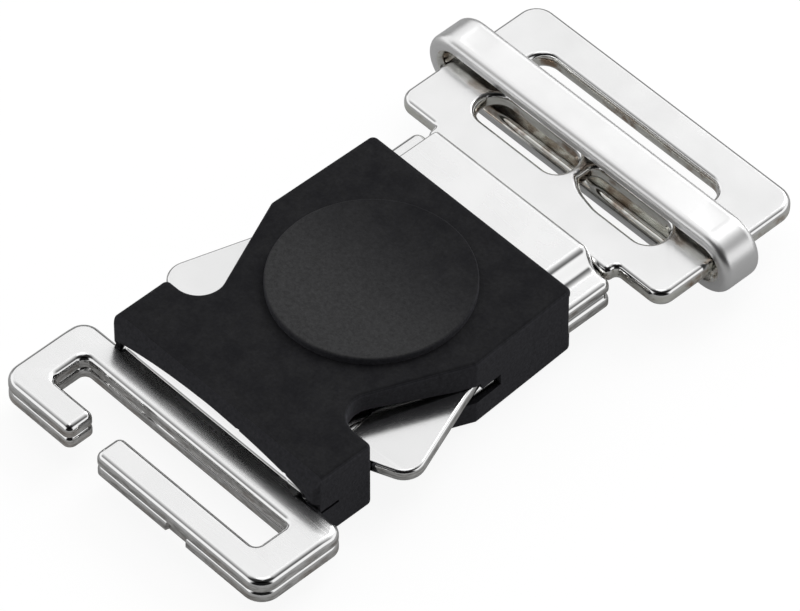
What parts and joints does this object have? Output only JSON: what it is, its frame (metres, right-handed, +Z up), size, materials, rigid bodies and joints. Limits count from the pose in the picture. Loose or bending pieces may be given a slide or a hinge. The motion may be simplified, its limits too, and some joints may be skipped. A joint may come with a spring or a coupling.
{
  "type": "side-release helmet strap buckle",
  "caption": "Fastened side-release strap buckle: plated steel slot plates, squeeze levers and sliding keeper loop, under a black moulded cover with a blank raised disc.",
  "frame": {"origin": "under the middle of the clip's bounding box, on the surface it lies on", "axes": "+X across the strap, +Y along the strap from the fixed bar to the adjuster, +Z up out of the cover's disc"},
  "size_m": [0.0366, 0.0626, 0.0083],
  "materials": {
    "plated_steel": "polished nickel plating over pressed steel",
    "black_rubber": "matte moulded rubber with a fine grain"
  },
  "bodies": {
    "housing": {"cover": "black_rubber", "lower_sheet": "plated_steel", "upper_sheet": "plated_steel", "pivot_pin_left": "plated_steel", "pivot_pin_right": "plated_steel", "tongue_plate": "plated_steel"},
    "left_lever": {"lever_left": "plated_steel"},
    "right_lever": {"lever_right": "plated_steel"},
    "keeper": {"keeper_loop": "plated_steel"}
  },
  "joints": [
    {"name": "left_squeeze", "type": "hinge", "parent": "housing", "child": "left_lever", "pos_m": [-0.0094, -0.00125, 0.004], "axis": [0, 0, 1], "range_deg": [0, 8.4], "stiffness_Nm_per_rad": 0.08},
    {"name": "right_squeeze", "type": "hinge", "parent": "housing", "child": "right_lever", "pos_m": [0.0094, -0.00125, 0.004], "axis": [0, 0, -1], "range_deg": [0, 11.6], "stiffness_Nm_per_rad": 0.08},
    {"name": "keeper_slide", "type": "slide", "parent": "housing", "child": "keeper", "axis": [0, 1, 0], "range_m": [-0.007, 0.0068]}
  ]
}
